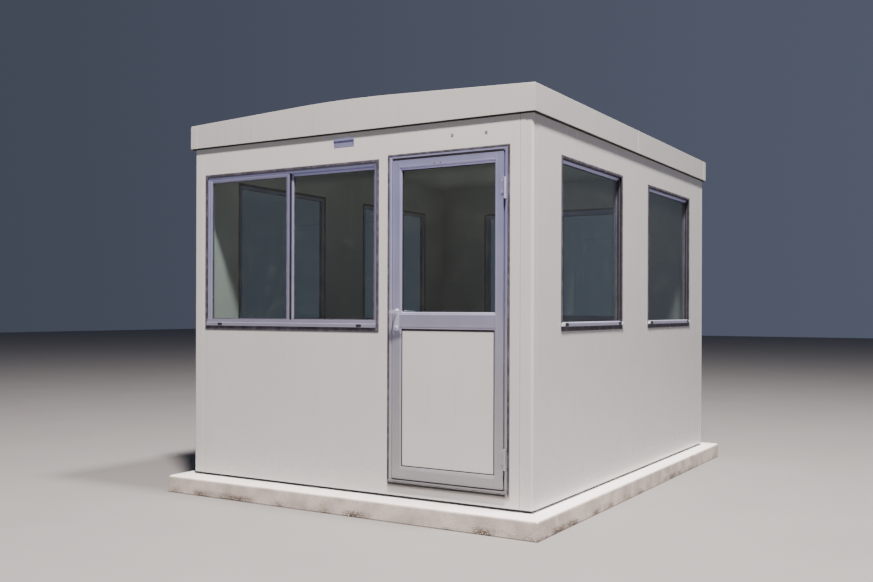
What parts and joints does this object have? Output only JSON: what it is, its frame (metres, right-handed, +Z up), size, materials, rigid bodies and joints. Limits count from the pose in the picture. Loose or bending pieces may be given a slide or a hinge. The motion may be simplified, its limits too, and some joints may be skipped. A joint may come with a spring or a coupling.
{
  "type": "security guard booth",
  "caption": "Walk-in guard booth of moulded panels on a concrete plinth, with a half-glazed door, a sliding front window, side and back windows and a shallow ridged roof behind a deep fascia.",
  "frame": {"origin": "under the middle of the plinth, in the plane of its bottom face", "axes": "+Z up, the front with the door and the sliding window faces -Y, +X to the right seen from the front"},
  "size_m": [2.91, 3.8, 2.6767],
  "materials": {
    "concrete": "rough cast",
    "base_board": "dull",
    "floor_vinyl": "satin",
    "wall_laminate": "gloss",
    "roof_laminate": "gloss",
    "ceiling_board": "matt",
    "anodised_aluminium": "satin anodised",
    "hardware": "satin",
    "rubber": "dull",
    "glass": "clear"
  },
  "bodies": {
    "booth": {"plinth": "concrete", "base_board": "base_board", "floor_deck": "floor_vinyl", "corner_post_front_left": "wall_laminate", "corner_post_front_right": "wall_laminate", "corner_post_back_left": "wall_laminate", "corner_post_back_right": "wall_laminate", "front_wall": "wall_laminate", "front_wall_pier": "wall_laminate", "front_wall_head": "wall_laminate", "front_wall_foot": "wall_laminate", "right_wall": "wall_laminate", "left_wall": "wall_laminate", "back_wall": "wall_laminate", "ceiling_panel": "ceiling_board", "roof_front": "roof_laminate", "roof_back": "roof_laminate", "roof_joint_cap": "roof_laminate", "fascia_front": "roof_laminate", "fascia_back": "roof_laminate", "fascia_right": "roof_laminate", "fascia_left": "roof_laminate", "fascia_corners": "roof_laminate", "window_rubbers": "rubber", "front_window_frame": "anodised_aluminium", "front_left_sash": "anodised_aluminium", "front_right_sash": "anodised_aluminium", "front_window_glass": "glass", "back_window_frame": "anodised_aluminium", "back_window_sashes": "anodised_aluminium", "back_window_glass": "glass", "right_window_frames": "anodised_aluminium", "right_window_glass": "glass", "left_window_frames": "anodised_aluminium", "left_window_glass": "glass", "door_frame": "anodised_aluminium", "door_seal": "rubber", "hinge_frame_halves": "hardware"},
    "door": {"door_leaf": "anodised_aluminium", "door_glass": "glass", "door_panel": "wall_laminate", "door_beads": "anodised_aluminium", "hinge_leaf_halves": "hardware", "lock_plates": "hardware"},
    "handle": {"door_handle": "hardware"}
  },
  "joints": [
    {"name": "door_hinge", "type": "hinge", "parent": "booth", "child": "door", "pos_m": [1.175, -1.769, 1.24], "axis": [0, 0, 1], "range_deg": [0, 100]},
    {"name": "handle_turn", "type": "hinge", "parent": "door", "child": "handle", "pos_m": [0.404, -1.738, 1.296], "axis": [0, 1, 0], "range_deg": [0, 40], "stiffness_Nm_per_rad": 1.2, "springref_deg": -22.92}
  ]
}
